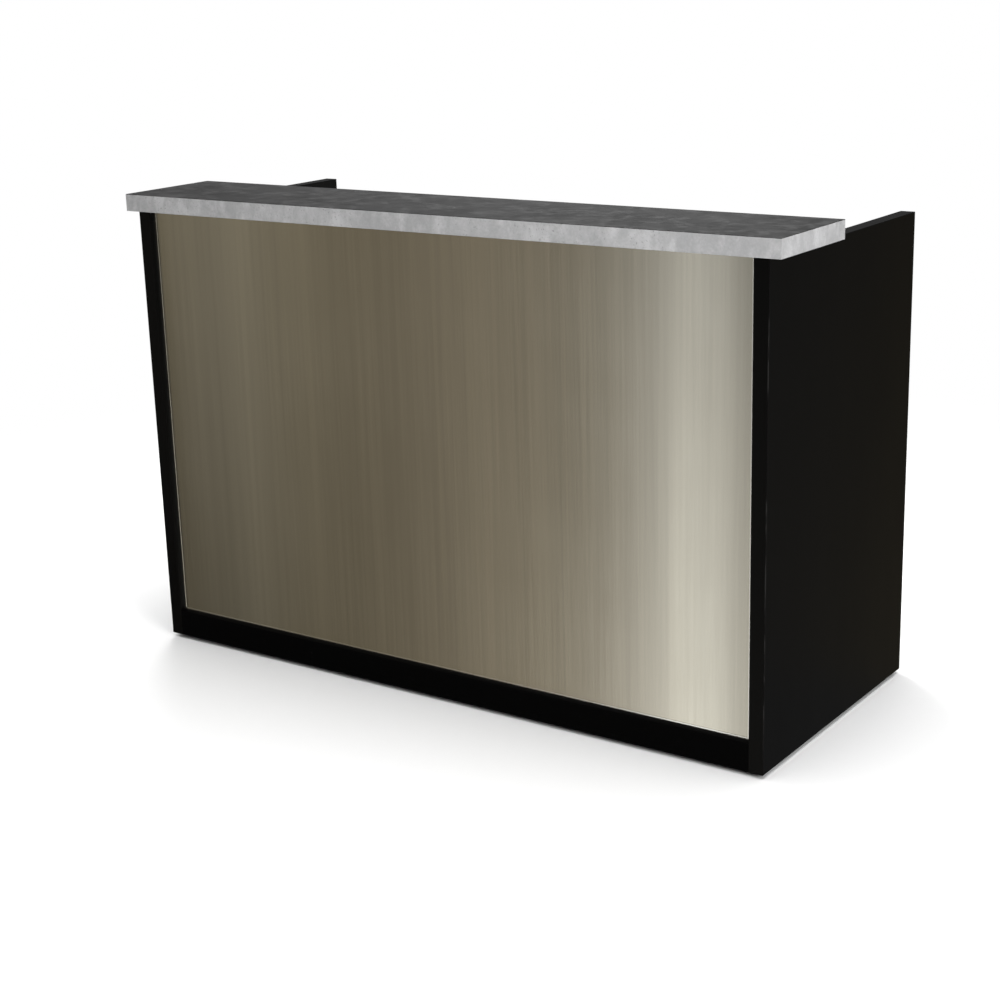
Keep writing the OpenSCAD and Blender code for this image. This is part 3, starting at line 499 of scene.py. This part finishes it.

# %% [markdown]
# Each solid belongs to a slot of the record. The finish of that slot goes into the solid's first
# material place, and the solid itself is left as it is. The work deck is scrubbed duller than the
# rest of its steel, the two fillers beside the apron stand with their grain upright and are paler
# than the apron, which is a painted highlight, and the front base rail is matt, since shoes meet
# it.

# %% Finishes on the solids
by_slot = {
    "laminate_black": laminate_black, "board_black": board_black, "front_steel": front_steel,
    "trim_steel": trim_steel, "deck_steel": deck_steel, "galvanised_steel": galvanised,
    "stone_top": stone_top, "stone_edge": stone_edge, "core_wood": core_wood, "foam": foam,
    "brass": brass, "zinc_steel": zinc, "pipe_plastic": pipe_plastic, "red_grip": red_grip,
    "wheel_plastic": wheel_plastic, "tread_rubber": tread_rubber}
by_node = {
    "work_deck": worktop_steel, "base_rail_front": kick_black,
    "apron_filler_left": filler_steel_painted_highlight, "apron_filler_right": filler_steel_painted_highlight}
slot_of = {piece["node"]: piece["material_slot"] for piece in frame["record"]["subparts"]}
for name, solid in nodes.items():
    solid.data.materials.clear()
    solid.data.materials.append(by_node.get(name, by_slot[slot_of[name]]))
print("finished solids:", len(slot_of))

# %% [markdown]
# The pieces that follow are modelled as one would by hand: add a primitive, go into edit mode, pick
# faces or edges and work on them. An operator reaches all that is selected, so each piece starts
# with nothing selected, and its place and size go into its mesh at once.

# %% Starting a piece
def fresh():
    """Object mode with nothing selected, so that an operator can reach only what comes next."""
    if bpy.context.object and bpy.context.object.mode != "OBJECT":
        bpy.ops.object.mode_set(mode="OBJECT")
    bpy.ops.object.select_all(action="DESELECT")


def only(piece):
    """Selects one piece alone and makes it the active one."""
    fresh()
    piece.select_set(True)
    bpy.context.view_layer.objects.active = piece


def settled(name):
    """Names the primitive that was just added, and puts its place and size into its mesh."""
    piece = bpy.context.object
    piece.name = name
    bpy.ops.object.transform_apply(location=True, rotation=True, scale=True)
    return piece


def new_box(name, low, high):
    fresh()
    low, high = Vector(low), Vector(high)
    bpy.ops.mesh.primitive_cube_add(size=1, location=(low + high) / 2, scale=high - low)
    return settled(name)


def new_rod(name, centre, radius, depth, sides):
    fresh()
    bpy.ops.mesh.primitive_cylinder_add(vertices=sides, radius=radius, depth=depth, location=centre)
    return settled(name)


print("primitives: box, rod")

# %% [markdown]
# By hand, faces and edges are picked with the mouse. In a script they are picked by place: `pick`
# selects whatever passes a test on its coordinates. The test is a small function, so it can say
# just what a hand would mean, such as all upright edges.

# %% Working on a piece
def pick(piece, what, test):
    """Selects the corners, edges or faces of a piece that pass the test, and stays in edit mode."""
    bpy.context.view_layer.objects.active = piece
    bpy.ops.object.mode_set(mode="EDIT")
    bpy.ops.mesh.select_mode(type={"corners": "VERT", "edges": "EDGE", "faces": "FACE"}[what])
    bpy.ops.mesh.select_all(action="DESELECT")
    bpy.ops.object.mode_set(mode="OBJECT")
    spots = [corner.co for corner in piece.data.vertices]
    if what == "corners":
        for corner in piece.data.vertices:
            corner.select = test(corner.co)
    elif what == "edges":
        for edge in piece.data.edges:
            edge.select = test(*(spots[i] for i in edge.vertices))
    else:
        for face in piece.data.polygons:
            face.select = test(face.center, face.normal)
    bpy.ops.object.mode_set(mode="EDIT")


def everything(*place):
    return True


def bevel(radius, segments, affect="EDGES"):
    """Rounds what is picked."""
    bpy.ops.mesh.bevel(offset=radius, offset_type="OFFSET", segments=segments, affect=affect)


def leave():
    bpy.ops.object.mode_set(mode="OBJECT")


print("edit mode: pick, bevel, leave")

# %% [markdown]
# Whole pieces are then thickened, cut by others, joined and handed over. A modifier could stay
# live, but an applied one gives a mesh that the next operator sees. Every piece is handed over in
# one place, so none can miss its finish or the body that it rides on.

# %% Finishing a piece
def apply_modifier(piece, kind, **settings):
    only(piece)
    made = piece.modifiers.new(kind.lower(), kind)
    for name, value in settings.items():
        setattr(made, name, value)
    bpy.ops.object.modifier_apply(modifier=made.name)


def cut(piece, *cutters):
    """Takes the cutters' volume out of a piece, and removes them."""
    for cutter in cutters:
        apply_modifier(piece, "BOOLEAN", operation="DIFFERENCE", object=cutter, solver="EXACT")
        bpy.data.objects.remove(cutter)


def join(first, *others):
    """One mesh of several."""
    fresh()
    for piece in (first, *others):
        piece.select_set(True)
    bpy.context.view_layer.objects.active = first
    bpy.ops.object.join()
    return first


def done(piece, body, finish, slot, *stands_for, angle=35):
    """Smooths, paints and hands over a finished piece."""
    only(piece)
    bpy.ops.object.shade_smooth_by_angle(angle=math.radians(angle))
    piece.data.materials.clear()
    piece.data.materials.append(finish)
    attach(piece, body)
    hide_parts(*stands_for)
    print(piece.name, "faces:", len(piece.data.polygons))


print("whole pieces: apply_modifier, cut, join, done")

# %% [markdown]
# The ice bin's liner is one sheet of stainless, pressed or welded into a tub with round corners, a
# coved floor that falls to the drain, and a flat flange that hangs on the deck. A boolean of two
# blocks would give the hollow but leave hard creases where the rounds meet. Bevelling the edges of
# an open box lets each round run into the next, as sheet does.

# %% Liner tub
LINER_LOW, LINER_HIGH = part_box("bin_liner")
SHEET = 0.0015
WELL_W, WELL_D = 0.914, 0.300
WELL_Y = (LINER_LOW.y + LINER_HIGH.y) / 2
WELL_FLOOR, RIM = LINER_LOW.z + SHEET, LINER_HIGH.z
FLOOR_FALL, LEVEL_PART = 0.009, 0.055
CORNER_R, COVE_R, RIM_R, FLANGE_R = 0.040, 0.025, 0.004, 0.035
NEAR, TALL, FACING = 0.0001, 0.1, 0.9

liner = new_box("ice_bin_liner", (-WELL_W / 2, WELL_Y - WELL_D / 2, WELL_FLOOR),
                (WELL_W / 2, WELL_Y + WELL_D / 2, RIM))
pick(liner, "faces", lambda at, way: way.z > FACING)
bpy.ops.mesh.delete(type="ONLY_FACE")
pick(liner, "edges", lambda a, b: abs(a.z - b.z) > TALL)
bevel(CORNER_R, 8)
pick(liner, "edges", lambda a, b: max(a.z, b.z) < WELL_FLOOR + NEAR)
bevel(COVE_R, 6)
for side in (-1, 1):
    pick(liner, "faces", everything)
    bpy.ops.mesh.bisect(plane_co=(side * LEVEL_PART, 0, 0), plane_no=(1, 0, 0))
cove_top = WELL_FLOOR + 1.2 * COVE_R
pick(liner, "corners", lambda at: abs(at.x) > 2 * LEVEL_PART and at.z < cove_top)
bpy.ops.transform.translate(value=(0, 0, FLOOR_FALL))
leave()
print("tub corners:", len(liner.data.vertices))

# %% [markdown]
# The flange starts as a plain rectangle with rounded corners, of which only the outline is kept.
# Bridging that outline to the tub's rim makes the ring between them. Two loops in one plane can be
# bridged crosswise, so the outline starts above the rim and is lowered once it is bridged. A small
# bevel then turns the ring down into the tub.

# %% Liner flange
LIFT, RIM_SLACK, WELD = 0.03, 0.001, 0.00001


def on_rim(at):
    inside = abs(at.x) < WELL_W / 2 + RIM_SLACK and abs(at.y - WELL_Y) < WELL_D / 2 + RIM_SLACK
    return inside and at.z > RIM - NEAR


fresh()
bpy.ops.mesh.primitive_plane_add(size=1, location=(0, WELL_Y, RIM + LIFT))
bpy.context.object.scale = (LINER_HIGH.x - LINER_LOW.x, LINER_HIGH.y - LINER_LOW.y, 1)
flange = settled("flange")
pick(flange, "corners", everything)
bevel(FLANGE_R, 8, affect="VERTICES")
pick(flange, "faces", everything)
bpy.ops.mesh.delete(type="ONLY_FACE")
leave()
join(liner, flange)
pick(liner, "edges", lambda a, b: min(a.z, b.z) > RIM - NEAR)
bpy.ops.mesh.bridge_edge_loops()
pick(liner, "corners", lambda at: at.z > RIM + LIFT / 2)
bpy.ops.transform.translate(value=(0, 0, -LIFT))
pick(liner, "edges", lambda a, b: on_rim(a) and on_rim(b))
bevel(RIM_R, 4)
bpy.ops.mesh.select_all(action="SELECT")
bpy.ops.mesh.remove_doubles(threshold=WELD)
leave()
print("liner corners:", len(liner.data.vertices))

# %% [markdown]
# The sheet gets its thickness on its outer side, so its faces have to look into the tub and up from
# the flange first. Recalculated normals agree with each other but may all look the wrong way, so
# the flange is asked, and all are turned if need be. The flange is polished like the deck that it
# lies on, so its faces take the second material place.

# %% Liner sheet
DRAIN_R, DRAIN_CUT, DRAIN_SIDES = 0.0202, 0.02, 48
UPWARDS = 0.5

pick(liner, "faces", everything)
bpy.ops.mesh.normals_make_consistent(inside=False)
leave()
level = [face for face in liner.data.polygons if face.center.z > RIM - NEAR]
if level[0].normal.z < 0:
    pick(liner, "faces", everything)
    bpy.ops.mesh.flip_normals()
    leave()
apply_modifier(liner, "SOLIDIFY", thickness=SHEET, offset=-1)
cut(liner, new_rod("drain_cutter", (0, WELL_Y, WELL_FLOOR), DRAIN_R, DRAIN_CUT, DRAIN_SIDES))
# The tub takes the darker steel, which is painted shade inside the well; the flange's faces take
# the paler deck steel.
done(liner, "case", liner_steel_painted_shade, "deck_steel", "bin_liner")
liner.data.materials.append(worktop_steel)
for face in liner.data.polygons:
    face.material_index = int(face.center.z > RIM - RIM_R and face.normal.z > UPWARDS)

# %% [markdown]
# The dark sheet of the bar top is filed smooth at its edge, so that the edge catches a thin line of
# light. A rounded profile could be swept around it, but a box with a fine bevel along its upper
# edges is enough for that.

# %% Top sheet
FILED = 0.0006

sheet_low, sheet_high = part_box("bar_top_sheet")
top_sheet = new_box("top_sheet", sheet_low, sheet_high)
pick(top_sheet, "edges", lambda a, b: min(a.z, b.z) > sheet_high.z - NEAR)
bevel(FILED, 3)
leave()
done(top_sheet, "case", stone_top, "stone_top", "bar_top_sheet")

# %% [markdown]
# Screws are alike, so one is modelled and then copied. Its head is a short rod with a rounded
# crown, the shank is pushed out of the head's flat side, and the cross for the screwdriver is cut
# by two thin boxes. A screw thread would be hidden in the board, so it is left out.

# %% One wood screw
SCREW_R, HEAD_R, HEAD_H, SCREW_L, HEAD_SIDES = 0.002, 0.004, 0.0024, 0.015, 28
CROWN_R = 0.0013
SLOT_LONG, SLOT_THIN, SLOT_LOW, SLOT_HIGH = 0.0022, 0.0004, -0.004, -0.0012

screw = new_rod("wood_screw", (0, 0, -HEAD_H / 2), HEAD_R, HEAD_H, HEAD_SIDES)
pick(screw, "edges", lambda a, b: max(a.z, b.z) < -HEAD_H + WELD)
bevel(CROWN_R, 4)
pick(screw, "faces", lambda at, way: way.z > FACING)
bpy.ops.mesh.inset(thickness=HEAD_R - SCREW_R, depth=0)
bpy.ops.mesh.extrude_region_move(TRANSFORM_OT_translate={"value": (0, 0, SCREW_L)})
leave()
cut(screw, *[new_box("slot", (-x, -y, SLOT_LOW), (x, y, SLOT_HIGH))
             for x, y in ((SLOT_LONG, SLOT_THIN), (SLOT_THIN, SLOT_LONG))])
print("screw faces:", len(screw.data.polygons))

# %% [markdown]
# Where the screws go is read from the solids that they replace: every screw is a loose part of its
# node, so the middle of each loose part and the way it points give its place. Upright screws go up
# into the bar top, and level ones out into the board or panel behind them.

# %% Places of the screws
TOUCHING, FAR = 0.000001, 9


def loose_parts(node):
    """The lowest and highest corners of each separate solid in a node."""
    copy = bpy.data.objects.new("loose", nodes[node].data.copy())
    bpy.context.scene.collection.objects.link(copy)
    only(copy)
    pick(copy, "faces", everything)
    bpy.ops.mesh.remove_doubles(threshold=TOUCHING)
    bpy.ops.mesh.separate(type="LOOSE")
    leave()
    boxes = []
    for piece in list(bpy.context.selected_objects):
        spots = [corner.co for corner in piece.data.vertices]
        boxes.append([Vector(map(min, *spots)), Vector(map(max, *spots))])
        bpy.data.objects.remove(piece)
    return boxes


def screw_place(low, high):
    """The turn and place of a screw whose solid fills this box."""
    size, middle = high - low, (low + high) / 2
    axis = max(range(3), key=lambda i: size[i])
    towards = (math.copysign(FAR, low.x), -FAR, FAR)[axis]
    way = Vector([0, 0, 0])
    way[axis] = 1 if towards > middle[axis] else -1
    head = middle - way * (size[axis] / 2 - HEAD_H)
    return Matrix.Translation(head) @ way.to_track_quat("Z", "Y").to_matrix().to_4x4()


places = {node: [screw_place(*box) for box in loose_parts(node)]
          for node in ("rail_screws", "angle_screws")}
print({node: len(found) for node, found in places.items()})

# %% [markdown]
# Copies could share one mesh, which saves room. Here each gets its own, and those of one node are
# joined, because one piece has to stand for one node.

# %% Copies of the screw
def copies(name, model, places):
    """Copies of a model, each with its own mesh, joined into one piece."""
    made = []
    for place in places:
        copy = bpy.data.objects.new(name, model.data.copy())
        bpy.context.scene.collection.objects.link(copy)
        copy.data.transform(place)
        made.append(copy)
    piece = join(*made)
    piece.name = name
    return piece


for name, node in (("speed_rail_screws", "rail_screws"), ("bar_top_screws", "angle_screws")):
    done(copies(name, screw, places[node]), "case", zinc, "zinc_steel", node)
bpy.data.objects.remove(screw)
